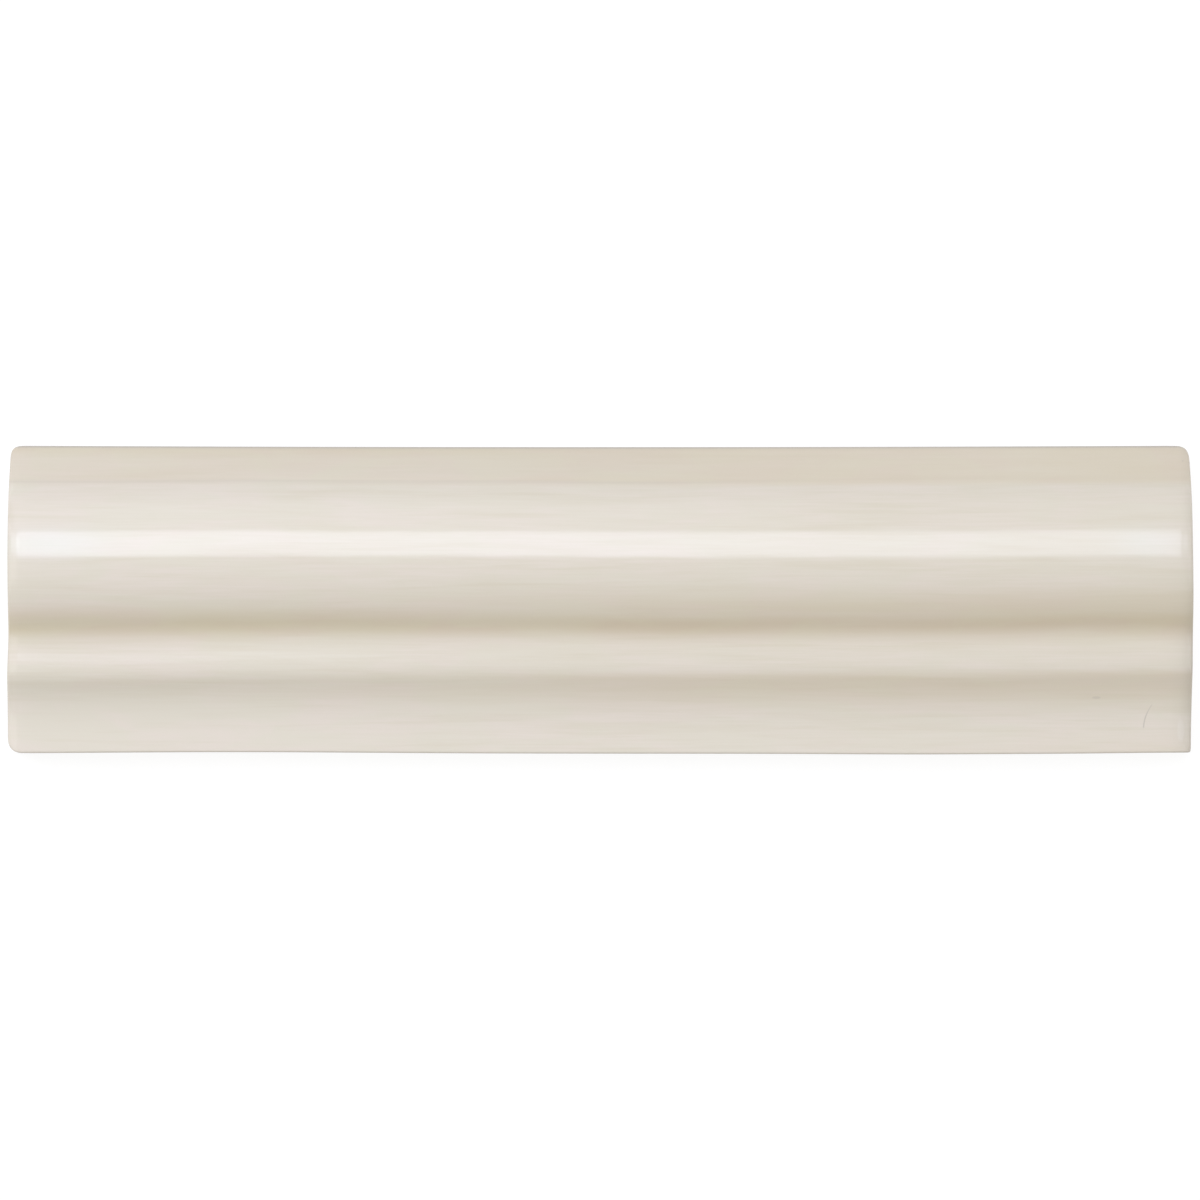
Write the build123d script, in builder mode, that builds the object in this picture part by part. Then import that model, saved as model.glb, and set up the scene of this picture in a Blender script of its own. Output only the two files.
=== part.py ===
"""Ceramic moulding tile, a pressed and glazed dado trim, lying on its back.

Frame: X runs along the tile, +Y points to the edge that is uppermost on a wall, +Z points out of
the wall, and Z is 0 on the back that meets the adhesive. The origin is the middle of the back.
"""

import os

from build123d import *

# Overall size
length = 200.0
height = 52.4
crown_thickness = 18.0

# Section, from the crown's highest line up to the top edge
crown_from_top = 19.5
crown_radius = 18.5
bevel_angle = 48.0

# Section, from the crown's highest line down to the bottom edge
crown_lower_angle = 35.5
groove_radius = 5.8
bead_rise_angle = 1.0
bead_top_radius = 60.0
bead_fall_angle = 2.0
bead_shoulder_radius = 6.5
bead_lower_angle = 30.0
cove_radius = 20.0
foot_slope_angle = 1.0

# Edges of the pressed body
die_draft = 0.5
corner_radius = 2.0
sharp_corner_radius = 0.9
glazed_edge_radius = 0.8
back_edge_chamfer = 0.4

# Adhesive pockets behind the crown
pocket_count = 3
pocket_wall = 11.0
pocket_width = 20.0
pocket_end_wall = 8.0
pocket_web = 6.0
pocket_draft = 6.0
pocket_corner_radius = 3.0
pocket_floor_radius = 1.2

# Keying grooves behind the foot
key_count = 2
key_width = 3.2
key_depth = 1.6
key_spacing = 7.0
key_rim = 6.0
key_draft = 10.0

os.makedirs("parts", exist_ok=True)

crown_y = height / 2 - crown_from_top
pocket_depth = crown_thickness - pocket_wall
pocket_pitch = (length - 2 * pocket_end_wall + pocket_web) / pocket_count
pocket_length = pocket_pitch - pocket_web
key_length = length - 2 * pocket_end_wall
key_y = -height / 2 + key_rim + (key_width + (key_count - 1) * key_spacing) / 2
overrun = crown_thickness


def is_side(face):
    """The sides of the body stand nearly upright; the glazed front and the back do not."""
    return abs(face.normal_at().Z) < 0.3


def rim_edges(solid):
    """The edges where the sides meet the glazed front, all the way round."""
    sides = solid.faces().filter_by(is_side)
    return ShapeList(
        edge
        for edge in solid.edges()
        if edge.center().Z > back_edge_chamfer + glazed_edge_radius
        and sum(edge in face.edges() for face in sides) == 1
    )


# The die: drafted sides above a broken back edge, widest where the two meet
with BuildPart() as die:
    with BuildSketch(Plane.XY.offset(back_edge_chamfer)) as outline:
        Rectangle(length, height)
        sharp_corner = outline.vertices().group_by(Axis.Y)[0].sort_by(Axis.X)[-1]
        fillet(outline.vertices() - [sharp_corner], corner_radius)
        fillet(outline.vertices().group_by(Axis.Y)[0].sort_by(Axis.X)[-1], sharp_corner_radius)
    extrude(amount=2 * crown_thickness, taper=die_draft)
    extrude(outline.sketch, amount=-back_edge_chamfer, taper=45)

with BuildPart() as moulding_tile:
    # Section: crown, groove, bead, cove and foot as one tangent line, closed below the back
    with BuildSketch(Plane.YZ) as section:
        with BuildLine() as profile:
            apex = (crown_y, crown_thickness)
            crown_upper = JernArc(apex, (1, 0), crown_radius, -bevel_angle)
            bevel = Line(
                crown_upper @ 1,
                (crown_upper @ 1) + (crown_upper % 1) * overrun,
            )
            crown_lower = JernArc(apex, (-1, 0), crown_radius, crown_lower_angle)
            groove = JernArc(
                crown_lower @ 1,
                crown_lower % 1,
                groove_radius,
                -(crown_lower_angle + bead_rise_angle),
            )
            bead_top = JernArc(
                groove @ 1,
                groove % 1,
                bead_top_radius,
                bead_rise_angle + bead_fall_angle,
            )
            bead_shoulder = JernArc(
                bead_top @ 1,
                bead_top % 1,
                bead_shoulder_radius,
                bead_lower_angle - bead_fall_angle,
            )
            cove = JernArc(
                bead_shoulder @ 1,
                bead_shoulder % 1,
                cove_radius,
                -(bead_lower_angle - foot_slope_angle),
            )
            foot = Line(cove @ 1, (cove @ 1) + (cove % 1) * overrun)
            below_back = Polyline(
                foot @ 1,
                ((foot @ 1).X, -overrun),
                ((bevel @ 1).X, -overrun),
                bevel @ 1,
            )
        make_face()
    extrude(amount=length, both=True)
    add(die.part, mode=Mode.INTERSECT)

    # The front's rim is rounded by the press and the glaze
    fillet(rim_edges(moulding_tile), glazed_edge_radius)

    # Pockets behind the crown keep the wall even and hold the adhesive
    with BuildSketch() as pockets:
        with Locations((0, crown_y)):
            with GridLocations(pocket_pitch, 0, pocket_count, 1):
                RectangleRounded(pocket_length, pocket_width, pocket_corner_radius)
    extrude(amount=pocket_depth, taper=pocket_draft, mode=Mode.SUBTRACT)
    pocket_floors = moulding_tile.faces().filter_by(Plane.XY).group_by(Axis.Z)[-1]
    fillet(pocket_floors.edges(), pocket_floor_radius)

    # Shallow grooves behind the foot key the thin part
    with BuildSketch() as keys:
        with Locations((0, key_y)):
            with GridLocations(0, key_spacing, 1, key_count):
                SlotOverall(key_length, key_width)
    extrude(amount=key_depth, taper=key_draft, mode=Mode.SUBTRACT)

moulding_tile.part.label = "moulding_tile"
export_step(moulding_tile.part, "parts/moulding_tile.step")

print("volume cm3", moulding_tile.part.volume / 1000)
print("foot thickness", (foot @ 0).Y)
print("crown meets bevel at", (bevel @ 0).X, (bevel @ 0).Y)
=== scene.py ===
import math

import bmesh
import bpy
import numpy as np
from mathutils import Matrix, Vector, noise
from mathutils.geometry import tessellate_polygon


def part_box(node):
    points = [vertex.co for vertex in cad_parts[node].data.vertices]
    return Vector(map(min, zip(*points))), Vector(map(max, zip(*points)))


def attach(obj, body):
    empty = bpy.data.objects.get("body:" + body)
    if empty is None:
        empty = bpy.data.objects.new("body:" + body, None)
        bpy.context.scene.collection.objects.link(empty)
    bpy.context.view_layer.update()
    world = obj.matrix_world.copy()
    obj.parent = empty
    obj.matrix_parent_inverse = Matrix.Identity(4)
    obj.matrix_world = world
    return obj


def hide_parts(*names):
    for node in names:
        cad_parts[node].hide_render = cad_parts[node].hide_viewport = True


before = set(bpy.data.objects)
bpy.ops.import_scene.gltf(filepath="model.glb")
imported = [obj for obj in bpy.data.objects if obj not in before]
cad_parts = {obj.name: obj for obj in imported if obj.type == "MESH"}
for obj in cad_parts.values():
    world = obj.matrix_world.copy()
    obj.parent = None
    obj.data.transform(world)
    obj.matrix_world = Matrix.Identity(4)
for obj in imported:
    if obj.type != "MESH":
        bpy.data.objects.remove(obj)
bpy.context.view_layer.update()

# Sizes in metres, in the part's frame: X along the tile, +Y to its upper edge, +Z out of its back
MM = 0.001
_, HIGH_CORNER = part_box("moulding_tile")
HALF_LENGTH, HALF_HEIGHT, CROWN = (float(size) for size in HIGH_CORNER)

# Section of the front, as in the part's source
CROWN_FROM_TOP = 19.5 * MM
CROWN_RADIUS = 18.5 * MM
BEVEL_ANGLE = math.radians(48.0)
CROWN_LOWER_ANGLE = math.radians(35.5)
GROOVE_RADIUS = 5.8 * MM
BEAD_RISE_ANGLE = math.radians(1.0)
BEAD_TOP_RADIUS = 60.0 * MM
BEAD_FALL_ANGLE = math.radians(2.0)
BEAD_SHOULDER_RADIUS = 6.5 * MM
BEAD_LOWER_ANGLE = math.radians(30.0)
COVE_RADIUS = 20.0 * MM
FOOT_SLOPE_ANGLE = math.radians(1.0)
CROWN_Y = HALF_HEIGHT - CROWN_FROM_TOP
BEVEL_Y = CROWN_Y + CROWN_RADIUS * math.sin(BEVEL_ANGLE)

# The section is worked out on a fine line that runs past the edges, and softened by the glaze
LINE_STEP = 0.05 * MM
LINE_MARGIN = 1.0 * MM
GLAZE_SOFTNESS = 0.35 * MM
SOFTNESS_REACH = 4

# The front's grid: the spacing of its columns and rows, and its steps across each rim
COLUMN_SPACING = 1.6 * MM
ROW_SPACING = 0.3 * MM
RIM_STEPS = 14

# The die's draft and the rim that the glaze rounds: width in from the edge, and drop
DRAFT = math.tan(math.radians(0.5))
LEFT_RIM = (2.2 * MM, 0.7 * MM)
RIGHT_RIM = (2.0 * MM, 0.7 * MM)
TOP_RIM = (0.5 * MM, 0.35 * MM)
BOTTOM_RIM = (0.35 * MM, 0.25 * MM)

# The front sinks a little towards its two ends
END_SAG_WIDTH = 5.0 * MM
END_SAG_DEPTH = 0.45 * MM

# Corners of the plan: a superellipse in a square this wide, a higher power being a sharper corner
CORNER = 3.0 * MM
UPPER_LEFT_POWER = 3.9
UPPER_RIGHT_POWER = 3.3
LOWER_LEFT_POWER = 2.7
LOWER_RIGHT_POWER = 15.0
SMALLEST_PULL = 1e-30

# Drying and firing draw the left edge in, less so at the foot, which flares out
LEFT_INSET = 0.40 * MM
LEFT_FLARE = 0.33 * MM
FLARE_Y = -9.5 * MM
FLARE_WIDTH = 4 * MM

# They bow the right edge out about this height and dent it above: depth, middle and width
RIGHT_INSET = 0.12 * MM
RIGHT_BOW = 0.36 * MM
RIGHT_BOW_Y = -6 * MM
RIGHT_BOW_REACH = 32 * MM
RIGHT_BOW_POWER = 1.5
RIGHT_DENT = (0.09 * MM, 8 * MM, 8 * MM)

# They sink the middle of the upper edge and make the lower edge wavy: depth, and then middle and
# width in half lengths
TOP_INSET = 0.15 * MM
TOP_BOW = 0.23 * MM
BOTTOM_INSET = 0.15 * MM
BOTTOM_WAVES = ((0.25 * MM, -0.62, 0.33), (-0.13 * MM, 0.53, 0.20), (0.18 * MM, 1.00, 0.15))
LONG_EDGE_POWER = 3

# The section's lines wander up and down along the tile: height, waves over its length, and phase
WANDER = ((0.12 * MM, 1.3, 0.4), (0.05 * MM, 4.1, 0.0))

# The bead hangs low at the left end, as far as this place: drop, middle and width
HANG = (0.64 * MM, -12.6 * MM, 4.6 * MM)
HANG_END = 40 * MM

# It also leans there, its upper side sunk and its lower side raised: depth, middle and width
LEAN = (0.12 * MM, -9.8 * MM, 4.5 * MM)
LEAN_TURN = 2.0 * MM
LEAN_FADE = (-60 * MM, 20 * MM)

# Pools of thick glaze with painted shade in them, and painted shade along the top edge, as strength,
# middle and width, an edge's pool or shade being measured in from the edge
RIGHT_STATION = 0.8 * HALF_LENGTH
GROOVE_POOL_AND_SHADE = 0.93
GROOVE_Y = -3.9 * MM
GROOVE_WIDTH_BELOW = 2.75 * MM
GROOVE_WIDTH_ABOVE = 2.4 * MM
GROOVE_RIGHT_END = (0.35, HALF_LENGTH, 30 * MM)
GROOVE_BORDER = (0.15, -5.1 * MM, 0.9 * MM)
BORDER_LEFT_END = (1.2, -HALF_LENGTH, 8 * MM)
# Painted shade darkening the band along the top edge
TOP_BAND_SHADE = (0.80, 0, 3.1 * MM)
COVE_LINE_POOL_AND_SHADE = (0.22, -13.7 * MM, 0.6 * MM)
COVE_POOL_AND_SHADE_LEFT = (0.03, -15.1 * MM, 2.2 * MM)
COVE_POOL_AND_SHADE_RIGHT = (0.12, -15.1 * MM, 2.2 * MM)
CORNER_POOL_AND_SHADE = (0.30, HALF_LENGTH, 25 * MM)
CORNER_POOL_AND_SHADE_HEIGHT = 2.2 * MM

# The thin line of painted shade on the crease between crown and bevel: it climbs to the right and fades
# there
CREASE_STRENGTH = 0.24
CREASE_WIDTH = 0.3 * MM
CREASE_DROP = 0.35 * MM
CREASE_CLIMB = 0.6 * MM
CREASE_CLIMB_OVER = (0, 60 * MM)
CREASE_LOSS = 0.85
CREASE_LOSS_OVER = (5 * MM, 45 * MM)

# Painted shade along the edges and on the bevel, as strength, middle and width
TOP_EDGE_SHADE = (0.9, 0, 0.3 * MM)
BOTTOM_EDGE_SHADE = (0.6, 0, 0.2 * MM)
RIGHT_EDGE_SHADE = (0.22, 0, 2.0 * MM)
RIGHT_EDGE_SHADE_UP_TO = (-7 * MM, 2 * MM)
BEVEL_SHADE = (0.08, -25 * MM, 50 * MM)

# Milky patches near both ends of the crown, on its highlight, partly milky glaze and partly painted
# highlight, as strength, middle and width, and their height
LEFT_MILKY_HIGHLIGHT = (0.36, -92.5 * MM, 9 * MM)
RIGHT_MILKY_HIGHLIGHT = (0.25, 92.5 * MM, 5.5 * MM)
MILKY_HIGHLIGHT_Y = 9.6 * MM
MILKY_HIGHLIGHT_HEIGHT = 2.6 * MM

# The glaze stops in a wavering line above the back and stands this proud of the bare clay;
# the line wavers by these heights over these lengths
GLAZE_LINE = 1.7 * MM
GLAZE_DEPTH = 0.12 * MM
GLAZE_WAVER = ((0.9 * MM, 14 * MM), (0.35 * MM, 4 * MM))

# Rings down the glaze's lower edge: height over the line in lips, inset in depths, glazed, thin
GLAZED_STEPS = 5
GLAZE_LIP = 0.3 * MM
LIP_RINGS = ((0.4, 0.1, 1, 0.15), (0.0, 0.5, 1, 0.45), (-0.1, 1.0, 0, 0.0))

# Back: pockets behind the crown and grooves behind the foot, as in the part's source
BACK_EDGE = 0.4 * MM
BACK_EDGE_STEPS = 4
POCKET_COUNT = 3
POCKET_WALL = 11.0 * MM
POCKET_WIDTH = 20.0 * MM
POCKET_END_WALL = 8.0 * MM
POCKET_WEB = 6.0 * MM
POCKET_DRAFT = math.tan(math.radians(6.0))
POCKET_CORNER = 3.0 * MM
POCKET_FLOOR_RADIUS = 1.2 * MM
KEY_COUNT = 2
KEY_WIDTH = 3.2 * MM
KEY_DEPTH = 1.6 * MM
KEY_SPACING = 7.0 * MM
KEY_RIM = 6.0 * MM
KEY_DRAFT = math.tan(math.radians(10.0))
KEY_FLOOR_RADIUS = 0.5 * MM
HOLLOW_CORNER_STEPS = 8
HOLLOW_FLOOR_STEPS = 6
SMALLEST_CORNER = 0.05 * MM

# The mesh: what its vertices keep for the material, which of them are one, and what stays sharp
MARKS = ("pool", "thin", "cloud", "slope", "glazed")
MERGE_DISTANCE = 1e-7
SHARP_ANGLE = math.radians(32)

# Colours of the glaze and the bare clay
WHITE = (1, 1, 1, 1)
GLAZE_OLIVE = (0.710, 0.665, 0.565, 1)
GLAZE_PINK = (0.729, 0.664, 0.583, 1)
GLAZE_STREAK = (0.671, 0.617, 0.506, 1)
# Whitish colour of the milky patches, partly painted highlight
GLAZE_MILKY_HIGHLIGHT = (0.695, 0.728, 0.685, 1)
# Deep and brown glaze, also the colours of painted shade in the pools, on the slopes that face down and
# on the bevel
GLAZE_DEEP_AND_SHADE = (0.632, 0.562, 0.410, 1)
GLAZE_BROWN_DEEP_AND_SHADE = (0.625, 0.537, 0.402, 1)
# Dark colour of the painted shade on edges, crease and bevel, also of the thin glaze at the lip and of
# the faults
GLAZE_SHADE_AND_THIN = (0.470, 0.430, 0.370, 1)
GLAZE_PALE = (0.800, 0.760, 0.700, 1)
BISQUE = (0.70, 0.60, 0.47, 1)
BISQUE_DARK = (0.58, 0.47, 0.35, 1)

# Noise patterns: how often they change in a metre along X, Y and Z, detail, roughness, distortion
STREAKS = ((34, 700, 60), 4.0, 0.6, 0.4)
THREADS = ((90, 2400, 60), 2.0, 0.5, 0.0)
STAINS = ((24, 260, 60), 3.0, 0.55, 0.4)
HUES = ((60, 190, 60), 3.0, 0.5, 0.6)
CLOUDS = ((45, 45, 45), 4.0, 0.55, 0.0)
RIPPLE = ((60, 500, 100), 2.0, 0.5, 0.0)
SPECKS = ((900, 900, 900), 2.0, 0.5, 0.0)
GRAIN = ((1400, 1400, 1400), 4.0, 0.7, 0.0)

# Ramps over a pattern's value, from where they start to where they are full
PINK_OVER = (0.38, 0.62)
BROWN_OVER = (0.4, 0.62)
STREAK_OVER = (0.45, 0.80)
THREAD_OVER = (0.3, 0.7)
DARK_CLAY_OVER = (0.35, 0.7)
SPECK_OVER = (0.62, 0.72)

# Ramps over a place, over the section's slope, over how far up the surface faces and over a mark
TO_RIGHT = (-0.9 * HALF_LENGTH, 0.7 * HALF_LENGTH)
INTO_COVE = (-12.0 * MM, -13.5 * MM)
ONTO_FOOT = (-16 * MM, -18 * MM)
DOWN_SLOPE = (0.15, 0.50)
BEVEL_SLOPE = (-0.90, -1.10)
ONTO_FRONT = (0.1, 0.4)
ONTO_GLAZE = (0.3, 0.7)

# How much of the glaze is streaked or brown: by each pattern, by place, and on the sides
STREAK_SHARE = 0.7
THREAD_SHARE = 0.35
# More of the darker streak colour towards the right and less on the foot: darker at the right, lighter
# on the foot
DARKER_TO_RIGHT = 0.30
LIGHTER_ON_FOOT = -0.25
STREAKED_SIDES = (0.15, 0.65)
BROWN_AT_RIGHT = 0.4

# How deep the glaze looks in its pools, where shade is painted too, and the painted shade at the left
# and the right on the slopes that face down and on the bevel; the cove takes some of that away, and the
# stains vary it
POOL_AND_SHADE_DEPTH = 0.85
DOWN_SLOPE_SHADES = (0.10, 0.62)
BEVEL_SLOPE_SHADES = (0.41, 0.63)
COVE_SHARES = (1.0, 0.8)
STAIN_SHARES = (0.5, 1.5)

# The surfaces, and the strength and height of their unevenness
GLAZE_FINISH = {"Roughness": 0.13, "IOR": 1.52}
CLAY_FINISH = {"Roughness": 0.85, "IOR": 1.45}
RIPPLE_BUMP = (0.12, 0.05 * MM)
GRAIN_BUMP = (0.5, 0.12 * MM)

# Small faults in the glaze: middle and half size along X and Y
DARK_SPOTS = (
    (83.6 * MM, -16.5 * MM, 0.9 * MM, 0.27 * MM),
    (98.3 * MM, 23.4 * MM, 0.20 * MM, 0.15 * MM),
)
PALE_SPOT = (97.9 * MM, -22.0 * MM, 0.75 * MM, 2.2 * MM)
SPOT_BORDER = (1.0, 0.3)
DARK_SPOT_SHARE = 0.34
PALE_SPOT_SHARE = 0.25

# A curved hair crack from its upper end down: how far it runs, its lean and bend at the lower end,
# how it sets in, ends and darkens along the way, and how dark it is before and after that
CRACK_TOP = (93.1 * MM, -17.5 * MM)
CRACK_DROP = 4.3 * MM
CRACK_LEAN = -3.05 * MM
CRACK_BEND = 1.55 * MM
CRACK_BORDER = (0.16 * MM, 0.04 * MM)
CRACK_START = (0.0, 0.1)
CRACK_END = (1.0, 0.9)
CRACK_DARKENS = (0.2, 0.5)
CRACK_SHARES = (0.36, 0.60)

# The floor as the light meets it, and as the camera and reflections see it
FLOOR_SIZE = 12.0
FLOOR_PAPER = (0.5, 0.5, 0.5, 1)
FLOOR_VEIL = (0.15, 0.15, 0.15, 1)
FLOOR_GLOW = 0.90

# Soft boxes: name, lean to the side and to the top in degrees, distance, shift to the side, width,
# height, radiance and colour
COOL = (0.945, 1.0, 1.18)
WARM = (1.0, 0.973, 0.92)
SOFT_BOXES = (
    ("key_softbox", 0, 18.3, 1.35, -0.15, 1.3, 0.78, 3.44, COOL),
    ("left_softbox", -40, 20, 1.5, 0, 0.8, 0.45, 1.6, COOL),
    ("right_softbox", 35, 20, 1.5, 0, 0.6, 0.45, 1.3, COOL),
    ("far_left_softbox", -58, 4, 1.5, 0, 1.5, 1.4, 0.78, WARM),
    ("far_right_softbox", 60, 4, 1.5, 0, 0.9, 1.2, 0.58, WARM),
    ("top_softbox", 0, 50, 1.6, -0.55, 1.2, 0.9, 0.55, COOL),
)
AMBIENT = 0.485

# The key light fades out over these shares of its height and width, and between these places along
# it drops to a share of its strength
KEY_FADE = (0.16, 0.05)
KEY_DIM = (0.63, 0.71, 0.80)

# The photograph: straight down, with this much of the crown's plane to a pixel
PHOTO_PIXELS = 1200
PIXEL = 0.1677 * MM
CAMERA_DISTANCE = 1.65
CAMERA_Y = -0.07 * MM
CAMERA_REACH = 50
SENSOR_WIDTH = 36.0


def section_arcs():
    """The section as arcs (lower y, upper y, centre y, centre z, radius, side), side +1 if round."""
    y = CROWN_Y - CROWN_RADIUS * math.sin(CROWN_LOWER_ANGLE)
    z = CROWN - CROWN_RADIUS * (1 - math.cos(CROWN_LOWER_ANGLE))
    arcs = [(y, BEVEL_Y, CROWN_Y, CROWN - CROWN_RADIUS, CROWN_RADIUS, 1)]
    angle = CROWN_LOWER_ANGLE
    for radius, next_angle in (
        (GROOVE_RADIUS, -BEAD_RISE_ANGLE),
        (BEAD_TOP_RADIUS, BEAD_FALL_ANGLE),
        (BEAD_SHOULDER_RADIUS, BEAD_LOWER_ANGLE),
        (COVE_RADIUS, FOOT_SLOPE_ANGLE),
    ):
        side = 1 if next_angle > angle else -1
        centre_y = y + side * radius * math.sin(angle)
        centre_z = z - side * radius * math.cos(angle)
        next_y = centre_y - side * radius * math.sin(next_angle)
        arcs.append((next_y, y, centre_y, centre_z, radius, side))
        y = next_y
        z = centre_z + side * radius * math.cos(next_angle)
        angle = next_angle
    return arcs


def sharp_section(y):
    """Height of the front over y, before the glaze softens it."""
    arcs = section_arcs()
    z = np.zeros_like(y)
    for low, high, centre_y, centre_z, radius, side in arcs:
        inside = (y >= low) & (y <= high)
        z[inside] = centre_z + side * np.sqrt(radius**2 - (y[inside] - centre_y) ** 2)
    bevel_z = CROWN - CROWN_RADIUS * (1 - math.cos(BEVEL_ANGLE))
    above = y > BEVEL_Y
    z[above] = bevel_z - (y[above] - BEVEL_Y) * math.tan(BEVEL_ANGLE)
    foot_y, _, _, centre_z, radius, side = arcs[-1]
    foot_z = centre_z + side * radius * math.cos(FOOT_SLOPE_ANGLE)
    below = y < foot_y
    z[below] = foot_z - (foot_y - y[below]) * math.tan(FOOT_SLOPE_ANGLE)
    return z


def smoothed(values, step, width):
    """Values along an even line, smoothed over a Gaussian of that width."""
    reach = int(SOFTNESS_REACH * width / step) + 1
    offsets = np.arange(-reach, reach + 1) * step
    weights = np.exp(-0.5 * (offsets / width) ** 2)
    padded = np.concatenate([
        values[0] + (values[1] - values[0]) * np.arange(-reach, 0),
        values,
        values[-1] + (values[-1] - values[-2]) * np.arange(1, reach + 1),
    ])
    return np.convolve(padded, weights / weights.sum(), mode="valid")


LINE_Y = np.arange(-HALF_HEIGHT - LINE_MARGIN, HALF_HEIGHT + LINE_MARGIN, LINE_STEP)
LINE_Z = smoothed(sharp_section(LINE_Y), LINE_STEP, GLAZE_SOFTNESS)
LINE_SLOPE = np.gradient(LINE_Z, LINE_STEP)


def stations(half, low_rim, high_rim, spacing):
    """Places from -half to +half: close together in the two rims, evenly spaced between them."""
    turns = np.array([1 - math.sin(math.pi / 2 * i / RIM_STEPS) for i in range(RIM_STEPS, 0, -1)])
    count = math.ceil((2 * half - low_rim - high_rim) / spacing)
    middle = np.linspace(-half + low_rim, half - high_rim, count + 1)
    return np.concatenate([-half + low_rim * turns, middle, half - high_rim * turns[::-1]])


def plan_grid():
    """The front's grid over the plan: x, y, distance in from the edge and how far that is an end."""
    columns = stations(HALF_LENGTH, LEFT_RIM[0], RIGHT_RIM[0], COLUMN_SPACING)
    rows = stations(HALF_HEIGHT, BOTTOM_RIM[0], TOP_RIM[0], ROW_SPACING)
    x, y = np.meshgrid(columns, rows)
    square_x = np.clip(1 - (HALF_LENGTH - np.abs(x)) / CORNER, 0, 1)
    square_y = np.clip(1 - (HALF_HEIGHT - np.abs(y)) / CORNER, 0, 1)
    upper_power = np.where(x > 0, UPPER_RIGHT_POWER, UPPER_LEFT_POWER)
    lower_power = np.where(x > 0, LOWER_RIGHT_POWER, LOWER_LEFT_POWER)
    power = np.where(y > 0, upper_power, lower_power)
    level = np.maximum(square_x, square_y)
    norm = (square_x**power + square_y**power) ** (1 / power)
    in_corner = (square_x > 0) & (square_y > 0)
    shrink = np.where(in_corner, level / np.where(norm > 0, norm, 1), 1)
    corner_x = square_x * shrink
    corner_y = square_y * shrink
    x = np.where(in_corner, np.sign(x) * (HALF_LENGTH - CORNER + CORNER * corner_x), x)
    y = np.where(in_corner, np.sign(y) * (HALF_HEIGHT - CORNER + CORNER * corner_y), y)
    pull_x = corner_x ** (2 * power - 2)
    pull_y = corner_y ** (2 * power - 2)
    end_share = np.where(level > 0, pull_x / np.maximum(pull_x + pull_y, SMALLEST_PULL), 0)
    return x, y, CORNER * (1 - level), end_share


def rim_drop(x, y, inward, end_share):
    """How far the rounded rim lies below the section, by the distance in from the edge."""
    end_width = np.where(x > 0, RIGHT_RIM[0], LEFT_RIM[0])
    end_drop = np.where(x > 0, RIGHT_RIM[1], LEFT_RIM[1])
    side_width = np.where(y > 0, TOP_RIM[0], BOTTOM_RIM[0])
    side_drop = np.where(y > 0, TOP_RIM[1], BOTTOM_RIM[1])
    width = end_width * end_share + side_width * (1 - end_share)
    drop = end_drop * end_share + side_drop * (1 - end_share)
    turn = np.clip(1 - inward / width, 0, 1)
    return drop * (1 - np.sqrt(1 - turn**2))


def swell(value, strength, middle, width):
    """That strength at the middle and nothing far from it."""
    return strength * np.exp(-(((value - middle) / width) ** 2))


def step_up(value, low, high):
    """0 at low and 1 at high, eased."""
    share = np.clip((value - low) / (high - low), 0, 1)
    return share * share * (3 - 2 * share)


def warp(x, y):
    """The plan's points, moved as drying and firing leave them."""
    along = x / HALF_LENGTH
    toward_foot = 0.5 * (1 - np.tanh((y - FLARE_Y) / FLARE_WIDTH))
    left_inset = LEFT_INSET - LEFT_FLARE * toward_foot
    bow = (np.abs(y - RIGHT_BOW_Y) / RIGHT_BOW_REACH) ** RIGHT_BOW_POWER
    right_inset = RIGHT_INSET + RIGHT_BOW * bow + swell(y, *RIGHT_DENT)
    inset = np.where(x < 0, left_inset, right_inset)
    top_inset = TOP_INSET + TOP_BOW * (1 - along**2)
    bottom_inset = BOTTOM_INSET
    for wave in BOTTOM_WAVES:
        bottom_inset = bottom_inset + swell(along, *wave)
    top_share = 0.5 + 0.5 * (y / HALF_HEIGHT)
    down = top_inset * top_share**LONG_EDGE_POWER
    up = bottom_inset * (1 - top_share) ** LONG_EDGE_POWER
    return x - along * inset, y - down + up


def feature_shift(x, y):
    """How far the section's lines lie below their place: they wander, and the bead hangs at the left."""
    along = x / HALF_LENGTH
    wander = sum(height * np.sin(waves * np.pi * along + phase) for height, waves, phase in WANDER)
    return wander + swell(y, *HANG) * (1 - step_up(x, -HALF_LENGTH, HANG_END))


def bead_lean(x, section_y):
    """How far the leaning bead lies below the section, negative where it lies above."""
    turn = np.tanh((section_y - LEAN[1]) / LEAN_TURN)
    return swell(section_y, *LEAN) * (1 - step_up(x, *LEAN_FADE)) * turn


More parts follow.
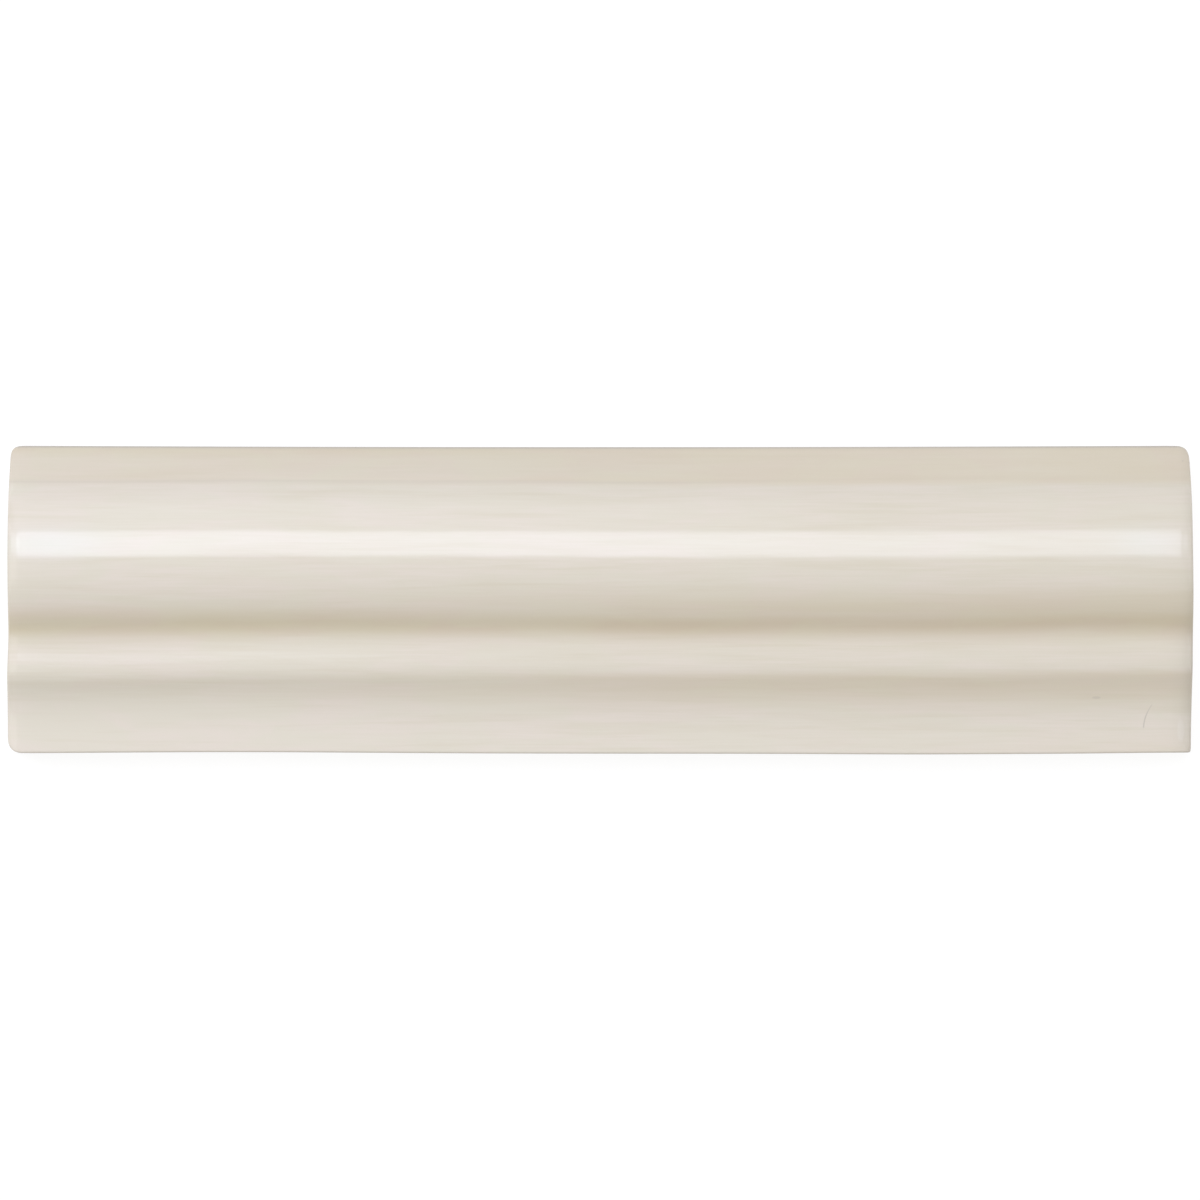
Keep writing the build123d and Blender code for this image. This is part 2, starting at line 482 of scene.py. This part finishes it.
def glaze_pools_and_shade(x, y, section_y):
    """Glaze pools with painted shade in them: groove and its lower border, cove and lower right corner;
    and painted shade along the top edge.
    """
    to_right = step_up(x, -HALF_LENGTH, RIGHT_STATION)
    to_left = 1 + swell(x, *BORDER_LEFT_END) - step_up(x, 0, RIGHT_STATION)
    width = np.where(section_y < GROOVE_Y, GROOVE_WIDTH_BELOW, GROOVE_WIDTH_ABOVE)
    # Groove, its lower border, cove and lower right corner: glaze pools, darkened further as painted
    # shade
    pool = swell(section_y, GROOVE_POOL_AND_SHADE, GROOVE_Y, width) * (1 + swell(x, *GROOVE_RIGHT_END))
    pool += swell(section_y, *GROOVE_BORDER) * to_left
    # Painted shade darkening the band along the top edge
    pool += swell(HALF_HEIGHT - y, *TOP_BAND_SHADE)
    pool += swell(section_y, *COVE_LINE_POOL_AND_SHADE)
    pool += swell(section_y, *COVE_POOL_AND_SHADE_LEFT) * (1 - to_right)
    pool += swell(section_y, *COVE_POOL_AND_SHADE_RIGHT) * to_right
    pool += swell(x, *CORNER_POOL_AND_SHADE) * swell(HALF_HEIGHT + y, 1, 0, CORNER_POOL_AND_SHADE_HEIGHT)
    return pool


def painted_edge_shade(x, y, section_y):
    """Painted shade: a dark line on the crease, and darkening along the edges and on the bevel."""
    crease_y = BEVEL_Y - CREASE_DROP + CREASE_CLIMB * step_up(x, *CREASE_CLIMB_OVER)
    crease = swell(section_y, CREASE_STRENGTH, crease_y, CREASE_WIDTH)
    thin = crease * (1 - CREASE_LOSS * step_up(x, *CREASE_LOSS_OVER))
    thin += swell(HALF_HEIGHT - y, *TOP_EDGE_SHADE)
    thin += swell(HALF_HEIGHT + y, *BOTTOM_EDGE_SHADE)
    thin += swell(HALF_LENGTH - x, *RIGHT_EDGE_SHADE) * (1 - step_up(y, *RIGHT_EDGE_SHADE_UP_TO))
    thin += swell(x, *BEVEL_SHADE) * step_up(section_y, BEVEL_Y, BEVEL_Y + MM)
    return thin


def milky_highlight_patches(x, section_y):
    """The milky patches near both ends of the crown, on its highlight: partly milky glaze, partly
    painted highlight.
    """
    ends = swell(x, *LEFT_MILKY_HIGHLIGHT) + swell(x, *RIGHT_MILKY_HIGHLIGHT)
    return ends * swell(section_y, 1, MILKY_HIGHLIGHT_Y, MILKY_HIGHLIGHT_HEIGHT)


def glaze_line(x, y):
    """Height where the glaze stops on the sides."""
    place = Vector((x, y, 0))
    return GLAZE_LINE + sum(height * noise.noise(place / length) for height, length in GLAZE_WAVER)


def drawn_in(x, y, inset):
    """The plan's points, drawn in by that much at the tile's ends and at its long sides."""
    return x * (1 - inset / HALF_LENGTH), y * (1 - inset / HALF_HEIGHT)


class Shell:
    """A closed mesh in the making, with marks kept on its vertices."""

    def __init__(self):
        self.vertices = []
        self.faces = []
        self.marks = {name: [] for name in MARKS}

    def add(self, points, **marks):
        """Adds points with these marks, the others being 0, and gives back their indices."""
        start = len(self.vertices)
        self.vertices.extend(points)
        for name, values in self.marks.items():
            values.extend(np.broadcast_to(marks.get(name, 0.0), len(points)))
        return range(start, len(self.vertices))

    def join(self, first, second):
        """Adds quads between two closed rings of as many vertices."""
        for i in range(len(first)):
            following = (i + 1) % len(first)
            self.faces.append((first[i], first[following], second[following], second[i]))

    def fill(self, loops):
        """Adds triangles over the flat area inside the first loop and outside the others."""
        # Millimetres keep the fill's fixed tolerance below the spacing of the points
        flat = [
            [Vector((self.vertices[i][0] / MM, self.vertices[i][1] / MM, 0)) for i in loop]
            for loop in loops
        ]
        indices = [i for loop in loops for i in loop]
        self.faces += [tuple(indices[i] for i in triangle) for triangle in tessellate_polygon(flat)]

    def mesh(self, name):
        """The finished mesh, smooth between its sharp edges."""
        mesh = bpy.data.meshes.new(name)
        mesh.from_pydata([tuple(map(float, point)) for point in self.vertices], [], self.faces)
        for mark, values in self.marks.items():
            layer = mesh.attributes.new(mark, "FLOAT", "POINT")
            layer.data.foreach_set("value", np.array(values, dtype=np.float32))
        body = bmesh.new()
        body.from_mesh(mesh)
        bmesh.ops.remove_doubles(body, verts=body.verts, dist=MERGE_DISTANCE)
        bmesh.ops.recalc_face_normals(body, faces=body.faces)
        body.to_mesh(mesh)
        body.free()
        mesh.shade_smooth()
        mesh.set_sharp_from_angle(angle=SHARP_ANGLE)
        return mesh


def grid_faces(index):
    """Quads between the neighbours in a grid of indices."""
    corners = (index[:-1, :-1], index[:-1, 1:], index[1:, 1:], index[1:, :-1])
    return np.stack(corners, axis=-1).reshape(-1, 4).tolist()


def grid_edge(index):
    """The indices round a grid, anticlockwise seen from the front."""
    runs = (index[0], index[1:, -1], index[-1, -2::-1], index[-2:0:-1, 0])
    return np.concatenate(runs).tolist()


def add_front(shell):
    """Adds the glazed front, and gives the indices round its edge with their x, y and z."""
    x, y, inward, end_share = plan_grid()
    section_y = y + feature_shift(x, y)
    sag = np.clip(1 - (HALF_LENGTH - np.abs(x)) / END_SAG_WIDTH, 0, 1) ** 2
    z = np.interp(section_y, LINE_Y, LINE_Z) - END_SAG_DEPTH * sag
    z = z - bead_lean(x, section_y) - rim_drop(x, y, inward, end_share)
    plan_x, plan_y = warp(x, y)
    front_x, front_y = drawn_in(plan_x, plan_y, DRAFT * z)
    # The marks carry glaze pools with painted shade, painted edge shade and the milky patches with
    # painted highlight
    shell.add(
        list(zip(front_x.ravel(), front_y.ravel(), z.ravel())),
        pool=glaze_pools_and_shade(x, y, section_y).ravel(),
        thin=painted_edge_shade(x, y, section_y).ravel(),
        cloud=milky_highlight_patches(x, section_y).ravel(),
        slope=np.interp(section_y, LINE_Y, LINE_SLOPE).ravel(),
        glazed=1.0,
    )
    index = np.arange(x.size).reshape(x.shape)
    shell.faces += grid_faces(index)
    edge = grid_edge(index)
    return edge, plan_x.ravel()[edge], plan_y.ravel()[edge], z.ravel()[edge]


def side_levels(line, rim_z):
    """Levels down the sides: height, inset, whether glazed and how thin."""
    levels = []
    for step in range(1, GLAZED_STEPS + 1):
        z = rim_z + (line + GLAZE_LIP - rim_z) * step / GLAZED_STEPS
        levels.append((z, DRAFT * z, 1, 0))
    for rise, depth, glazed, thin in LIP_RINGS:
        z = line + rise * GLAZE_LIP
        levels.append((z, DRAFT * z + depth * GLAZE_DEPTH, glazed, thin))
    z = np.full_like(line, BACK_EDGE)
    levels.append((z, DRAFT * z + GLAZE_DEPTH, 0, 0))
    for step in range(1, BACK_EDGE_STEPS + 1):
        angle = math.radians(90 * step / BACK_EDGE_STEPS)
        z = np.full_like(line, BACK_EDGE * (1 - math.sin(angle)))
        levels.append((z, GLAZE_DEPTH + BACK_EDGE * (1 - math.cos(angle)), 0, 0))
    return levels


def add_sides(shell, edge, plan_x, plan_y, rim_z):
    """Adds the sides below the front's edge, and gives the indices round the back."""
    line = np.array([glaze_line(x, y) for x, y in zip(plan_x, plan_y)])
    ring = edge
    for z, inset, glazed, thin in side_levels(line, rim_z):
        previous = ring
        ring_x, ring_y = drawn_in(plan_x, plan_y, inset)
        ring = shell.add(list(zip(ring_x, ring_y, z)), glazed=glazed, thin=thin)
        shell.join(ring, previous)
    return ring


def rounded_loop(centre, half_x, half_y, radius):
    """A closed loop round a rounded rectangle, anticlockwise seen from the front."""
    points = []
    for start, sign_x, sign_y in ((0, 1, 1), (90, -1, 1), (180, -1, -1), (270, 1, -1)):
        for i in range(HOLLOW_CORNER_STEPS + 1):
            angle = math.radians(start + 90 * i / HOLLOW_CORNER_STEPS)
            points.append((
                centre[0] + sign_x * (half_x - radius) + radius * math.cos(angle),
                centre[1] + sign_y * (half_y - radius) + radius * math.sin(angle),
            ))
    return points


def hollow_rings(centre, half_x, half_y, radius, depth, draft, floor_radius):
    """Rings of points down a drafted hollow with a rounded floor, from its mouth to its floor."""
    wall = depth - floor_radius
    levels = [(0.0, 0.0), (wall * draft, wall)]
    for i in range(1, HOLLOW_FLOOR_STEPS + 1):
        angle = math.radians(90 * i / HOLLOW_FLOOR_STEPS)
        inset = wall * draft + floor_radius * (1 - math.cos(angle))
        levels.append((inset, wall + floor_radius * math.sin(angle)))
    rings = []
    for inset, z in levels:
        corner = max(radius - inset, SMALLEST_CORNER)
        loop = rounded_loop(centre, half_x - inset, half_y - inset, corner)
        rings.append([(x, y, z) for x, y in loop])
    return rings


def back_hollows():
    """The rings of every pocket and keying groove."""
    pitch = (2 * HALF_LENGTH - 2 * POCKET_END_WALL + POCKET_WEB) / POCKET_COUNT
    for i in range(POCKET_COUNT):
        yield hollow_rings(
            ((i - (POCKET_COUNT - 1) / 2) * pitch, CROWN_Y),
            (pitch - POCKET_WEB) / 2,
            POCKET_WIDTH / 2,
            POCKET_CORNER,
            CROWN - POCKET_WALL,
            POCKET_DRAFT,
            POCKET_FLOOR_RADIUS,
        )
    first_y = -HALF_HEIGHT + KEY_RIM + KEY_WIDTH / 2
    for i in range(KEY_COUNT):
        yield hollow_rings(
            (0, first_y + i * KEY_SPACING),
            HALF_LENGTH - POCKET_END_WALL,
            KEY_WIDTH / 2,
            KEY_WIDTH / 2,
            KEY_DEPTH,
            KEY_DRAFT,
            KEY_FLOOR_RADIUS,
        )


def add_hollow(shell, rings):
    """Adds one hollow of the back, and gives the indices round its mouth."""
    loops = [shell.add(ring) for ring in rings]
    for outer, inner in zip(loops, loops[1:]):
        shell.join(outer, inner)
    shell.faces.append(tuple(loops[-1]))
    return loops[0]


def tile_mesh():
    """The whole tile as one closed mesh."""
    shell = Shell()
    edge, plan_x, plan_y, rim_z = add_front(shell)
    back_loops = [add_sides(shell, edge, plan_x, plan_y, rim_z)]
    back_loops += [add_hollow(shell, rings) for rings in back_hollows()]
    shell.fill(back_loops)
    return shell.mesh("moulding_tile_visual")


class Nodes:
    """A material's node tree, with short calls for the nodes that it takes."""

    def __init__(self, name):
        self.material = bpy.data.materials.new(name)
        self.material.use_nodes = True
        self.tree = self.material.node_tree
        self.tree.nodes.clear()

    def add(self, kind, inputs=None, **settings):
        node = self.tree.nodes.new(kind)
        for key, value in settings.items():
            setattr(node, key, value)
        for key, value in (inputs or {}).items():
            self.put(node, key, value)
        return node

    def put(self, node, key, value):
        if isinstance(value, bpy.types.NodeSocket):
            self.tree.links.new(value, node.inputs[key])
        else:
            node.inputs[key].default_value = value

    def math(self, operation, first, second=0.0, third=0.0, clamp=False):
        inputs = {0: first, 1: second, 2: third}
        return self.add("ShaderNodeMath", inputs, operation=operation, use_clamp=clamp).outputs[0]

    def between(self, share, low, high):
        """Low where the share is 0 and high where it is 1."""
        return self.math("MULTIPLY_ADD", share, high - low, low)

    def ramp(self, value, low, high):
        """0 at low and 1 at high, eased, and the other way round if low is above high."""
        inputs = {0: value, 1: low, 2: high}
        return self.add("ShaderNodeMapRange", inputs, interpolation_type="SMOOTHSTEP").outputs[0]

    def mix(self, share, first, second):
        node = self.add("ShaderNodeMix", data_type="RGBA")
        self.put(node, 0, share)
        self.put(node, 6, first)
        self.put(node, 7, second)
        return node.outputs[2]

    def attribute(self, name):
        return self.add("ShaderNodeAttribute", attribute_name=name).outputs["Fac"]

    def coordinates(self, kind):
        """The X, Y and Z of a texture coordinate."""
        vector = self.add("ShaderNodeTexCoord").outputs[kind]
        return self.add("ShaderNodeSeparateXYZ", {0: vector}).outputs

    def pattern(self, frequencies, detail, roughness, distortion):
        """Noise over the object's coordinates."""
        vector = self.add("ShaderNodeTexCoord").outputs["Object"]
        inputs = {"Vector": vector, "Scale": frequencies}
        vector = self.add("ShaderNodeMapping", inputs).outputs[0]
        inputs = {"Vector": vector, "Scale": 1.0, "Detail": detail}
        inputs.update({"Roughness": roughness, "Distortion": distortion})
        return self.add("ShaderNodeTexNoise", inputs).outputs[0]

    def bump(self, height, strength, distance):
        inputs = {"Height": height, "Strength": strength, "Distance": distance}
        return self.add("ShaderNodeBump", inputs).outputs[0]


def spot(n, x, y, place):
    """1 in the middle of an ellipse and 0 outside it."""
    centre_x, centre_y, half_x, half_y = place
    across = n.math("DIVIDE", n.math("SUBTRACT", x, centre_x), half_x)
    up = n.math("DIVIDE", n.math("SUBTRACT", y, centre_y), half_y)
    reach = n.math("ADD", n.math("MULTIPLY", across, across), n.math("MULTIPLY", up, up))
    return n.ramp(reach, *SPOT_BORDER)


def hair_crack(n, x, y):
    """How dark the crack is on its line, and 0 off it."""
    share = n.math("DIVIDE", n.math("SUBTRACT", CRACK_TOP[1], y), CRACK_DROP)
    bend = n.math("MULTIPLY_ADD", share, CRACK_BEND, CRACK_LEAN)
    line_x = n.math("MULTIPLY_ADD", share, bend, CRACK_TOP[0])
    off = n.math("ABSOLUTE", n.math("SUBTRACT", x, line_x))
    dark = n.math("MULTIPLY", n.ramp(share, *CRACK_START), n.ramp(share, *CRACK_END))
    dark = n.math("MULTIPLY", dark, n.between(n.ramp(share, *CRACK_DARKENS), *CRACK_SHARES))
    return n.math("MULTIPLY", dark, n.ramp(off, *CRACK_BORDER))


def dark_faults(n, x, y):
    """How dark the crack and the dark spots are."""
    faults = hair_crack(n, x, y)
    for place in DARK_SPOTS:
        darkened = n.math("MULTIPLY", spot(n, x, y, place), DARK_SPOT_SHARE)
        faults = n.math("MAXIMUM", faults, darkened)
    return faults


def streaked_share(n, y, to_right, clouds):
    """How much of the glaze is streaked, with clouds in place of streaks on the sides."""
    # More streak colour towards the right darkens it there; less on the foot lightens it
    share = n.math("MULTIPLY", to_right, DARKER_TO_RIGHT)
    threads = n.ramp(n.pattern(*THREADS), *THREAD_OVER)
    share = n.math("MULTIPLY_ADD", threads, THREAD_SHARE, share)
    streaks = n.ramp(n.pattern(*STREAKS), *STREAK_OVER)
    share = n.math("MULTIPLY_ADD", streaks, STREAK_SHARE, share)
    share = n.math("MULTIPLY_ADD", n.ramp(y, *ONTO_FOOT), LIGHTER_ON_FOOT, share, clamp=True)
    sides = n.between(clouds, *STREAKED_SIDES)
    front = n.ramp(n.coordinates("Normal")[2], *ONTO_FRONT)
    return n.math("MULTIPLY_ADD", n.math("SUBTRACT", share, sides), front, sides)


def glaze_depth_and_shade(n, y, to_right):
    """How deep the glaze looks in its pools, with painted shade in them, and painted shade on the slopes
    that face down and on the bevel.
    """
    slope = n.attribute("slope")
    pools_and_shade = n.math("MULTIPLY", n.attribute("pool"), POOL_AND_SHADE_DEPTH)
    # Painted shade: darker and browner on the slopes that face down and on the bevel, more so at the
    # right
    down = n.math("MULTIPLY", n.ramp(slope, *DOWN_SLOPE), n.between(to_right, *DOWN_SLOPE_SHADES))
    down = n.math("MULTIPLY", down, n.between(n.ramp(y, *INTO_COVE), *COVE_SHARES))
    bevel = n.math("MULTIPLY", n.ramp(slope, *BEVEL_SLOPE), n.between(to_right, *BEVEL_SLOPE_SHADES))
    depth = n.math("MAXIMUM", pools_and_shade, n.math("MAXIMUM", down, bevel))
    return n.math("MULTIPLY", depth, n.between(n.pattern(*STAINS), *STAIN_SHARES))


def glaze_colour(n, clouds):
    """The cream glaze with its streaks, pools, milky patches and faults, with painted shade in the
    pools, on the down-facing slopes, bevel, edges and crease, and painted highlight in the milky
    patches.
    """
    x, y, _ = n.coordinates("Object")
    to_right = n.ramp(x, *TO_RIGHT)
    hues = n.pattern(*HUES)
    glaze = n.mix(n.ramp(hues, *PINK_OVER), GLAZE_OLIVE, GLAZE_PINK)
    glaze = n.mix(streaked_share(n, y, to_right, clouds), glaze, GLAZE_STREAK)
    brown = n.ramp(hues, *BROWN_OVER)
    brown = n.math("MULTIPLY_ADD", to_right, BROWN_AT_RIGHT, brown, clamp=True)
    # Deep glaze in the pools, and painted shade there and on the down-facing slopes and the bevel
    deep_and_shade = n.mix(brown, GLAZE_DEEP_AND_SHADE, GLAZE_BROWN_DEEP_AND_SHADE)
    glaze = n.mix(glaze_depth_and_shade(n, y, to_right), glaze, deep_and_shade)
    # Milky patches, partly painted highlight
    glaze = n.mix(n.attribute("cloud"), glaze, GLAZE_MILKY_HIGHLIGHT)
    pale = n.math("MULTIPLY", spot(n, x, y, PALE_SPOT), PALE_SPOT_SHARE)
    glaze = n.mix(pale, glaze, GLAZE_PALE)
    # Painted shade on edges, crease and bevel, the lip's thin glaze and the faults all darken to one
    # colour
    thin = n.math("MAXIMUM", n.attribute("thin"), dark_faults(n, x, y))
    return n.mix(thin, glaze, GLAZE_SHADE_AND_THIN)


def clay_colour(n, clouds):
    """The bare fired clay with its darker clouds and specks."""
    clay = n.mix(n.ramp(clouds, *DARK_CLAY_OVER), BISQUE, BISQUE_DARK)
    return n.mix(n.ramp(n.pattern(*SPECKS), *SPECK_OVER), clay, BISQUE_DARK)


def tile_material():
    """Cream glaze over the front and the sides, bare fired clay on the back."""
    n = Nodes("glazed_ceramic_look")
    clouds = n.pattern(*CLOUDS)
    ripple = n.bump(n.pattern(*RIPPLE), *RIPPLE_BUMP)
    grain = n.bump(n.pattern(*GRAIN), *GRAIN_BUMP)
    glaze_shader = n.add(
        "ShaderNodeBsdfPrincipled",
        {"Base Color": glaze_colour(n, clouds), "Normal": ripple, **GLAZE_FINISH},
    )
    clay_shader = n.add(
        "ShaderNodeBsdfPrincipled",
        {"Base Color": clay_colour(n, clouds), "Normal": grain, **CLAY_FINISH},
    )
    shader = n.add("ShaderNodeMixShader", {0: n.ramp(n.attribute("glazed"), *ONTO_GLAZE)})
    n.put(shader, 1, clay_shader.outputs[0])
    n.put(shader, 2, glaze_shader.outputs[0])
    n.add("ShaderNodeOutputMaterial", {"Surface": shader.outputs[0]})
    return n.material


def floor_material():
    """A white floor that keeps the tile's shadow and shows white to the camera and in reflections."""
    n = Nodes("studio_floor")
    path = n.add("ShaderNodeLightPath").outputs
    seen = n.math("MAXIMUM", path["Is Camera Ray"], path["Is Glossy Ray"])
    seen = n.math("MAXIMUM", seen, path["Is Transmission Ray"])
    paper = n.add("ShaderNodeBsdfDiffuse", {"Color": FLOOR_PAPER})
    veil = n.add("ShaderNodeBsdfDiffuse", {"Color": FLOOR_VEIL})
    glow = n.add("ShaderNodeEmission", {"Color": WHITE, "Strength": FLOOR_GLOW})
    lifted = n.add("ShaderNodeAddShader", {0: veil.outputs[0], 1: glow.outputs[0]})
    shader = n.add("ShaderNodeMixShader", {0: seen})
    n.put(shader, 1, paper.outputs[0])
    n.put(shader, 2, lifted.outputs[0])
    n.add("ShaderNodeOutputMaterial", {"Surface": shader.outputs[0]})
    return n.material


def add_object(name, data):
    obj = bpy.data.objects.new(name, data)
    bpy.context.scene.collection.objects.link(obj)
    return obj


def build_tile():
    tile = add_object("glazed_moulding_tile", tile_mesh())
    tile.data.materials.append(tile_material())
    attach(tile, "root")
    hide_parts("moulding_tile")


def build_floor():
    half = FLOOR_SIZE / 2
    mesh = bpy.data.meshes.new("studio_floor")
    corners = [(-half, -half, 0), (half, -half, 0), (half, half, 0), (-half, half, 0)]
    mesh.from_pydata(corners, [], [(0, 1, 2, 3)])
    floor = add_object("studio_floor", mesh)
    floor.data.materials.append(floor_material())


def fade_lamp(light, sides, ends, dim_from, dim_to, dimmed):
    """Fades the lamp out at its borders, over these shares of it, and dims it towards its far end."""
    light.use_nodes = True
    tree = light.node_tree
    place = tree.nodes.new("ShaderNodeNewGeometry").outputs["Parametric"]
    split = tree.nodes.new("ShaderNodeSeparateXYZ")
    tree.links.new(place, split.inputs[0])

    def ramp(value, low, high, first=0.0, last=1.0):
        node = tree.nodes.new("ShaderNodeMapRange")
        node.interpolation_type = "SMOOTHSTEP"
        tree.links.new(value, node.inputs[0])
        for socket, setting in zip(list(node.inputs)[1:5], (low, high, first, last)):
            socket.default_value = setting
        return node.outputs[0]

    def product(first, second):
        node = tree.nodes.new("ShaderNodeMath")
        node.operation = "MULTIPLY"
        tree.links.new(first, node.inputs[0])
        tree.links.new(second, node.inputs[1])
        return node.outputs[0]

    along, across = split.outputs[0], split.outputs[1]
    share = product(ramp(along, 0, ends), ramp(along, 1, 1 - ends))
    share = product(share, product(ramp(across, 0, sides), ramp(across, 1, 1 - sides)))
    share = product(share, ramp(along, dim_from, dim_to, 1.0, dimmed))
    tree.links.new(share, tree.nodes["Emission"].inputs["Strength"])


def soft_box(name, lean_x, lean_y, distance, shift_x, size_x, size_y, radiance, colour):
    """A rectangular soft light that leans off the vertical by these degrees and faces the tile."""
    light = bpy.data.lights.new(name, "AREA")
    light.shape = "RECTANGLE"
    light.size = size_x
    light.size_y = size_y
    light.energy = math.pi * size_x * size_y * radiance
    light.color = colour
    lamp = add_object(name, light)
    back = Vector((math.tan(math.radians(lean_x)), math.tan(math.radians(lean_y)), 1)).normalized()
    across = Vector((0, 1, 0)).cross(back).normalized()
    lamp.matrix_world = Matrix((across, back.cross(across), back)).transposed().to_4x4()
    lamp.location = back * distance + Vector((shift_x, 0, 0))
    lamp.visible_camera = False
    return light


def build_world():
    """A warm even light all round, which the camera sees as white."""
    world = bpy.data.worlds.new("studio")
    bpy.context.scene.world = world
    world.use_nodes = True
    nodes = world.node_tree.nodes
    links = world.node_tree.links
    ambient = nodes["Background"]
    ambient.inputs["Color"].default_value = (*WARM, 1)
    ambient.inputs["Strength"].default_value = AMBIENT
    white = nodes.new("ShaderNodeBackground")
    white.inputs["Color"].default_value = WHITE
    white.inputs["Strength"].default_value = 1.0
    camera_ray = nodes.new("ShaderNodeLightPath").outputs["Is Camera Ray"]
    either = nodes.new("ShaderNodeMixShader")
    links.new(camera_ray, either.inputs[0])
    links.new(ambient.outputs[0], either.inputs[1])
    links.new(white.outputs[0], either.inputs[2])
    links.new(either.outputs[0], nodes["World Output"].inputs["Surface"])


def build_light():
    key, *_ = [soft_box(*settings) for settings in SOFT_BOXES]
    fade_lamp(key, *KEY_FADE, *KEY_DIM)
    build_world()


def build_camera():
    camera = bpy.data.cameras.new("photo_camera")
    camera.sensor_width = SENSOR_WIDTH
    camera.lens = SENSOR_WIDTH * CAMERA_DISTANCE / (PHOTO_PIXELS * PIXEL)
    camera.clip_end = CAMERA_REACH
    holder = add_object("photo_camera", camera)
    holder.location = (0, CAMERA_Y, CROWN + CAMERA_DISTANCE)
    bpy.context.scene.camera = holder


build_tile()
build_floor()
build_light()
build_camera()
bpy.context.scene.view_settings.view_transform = "Standard"
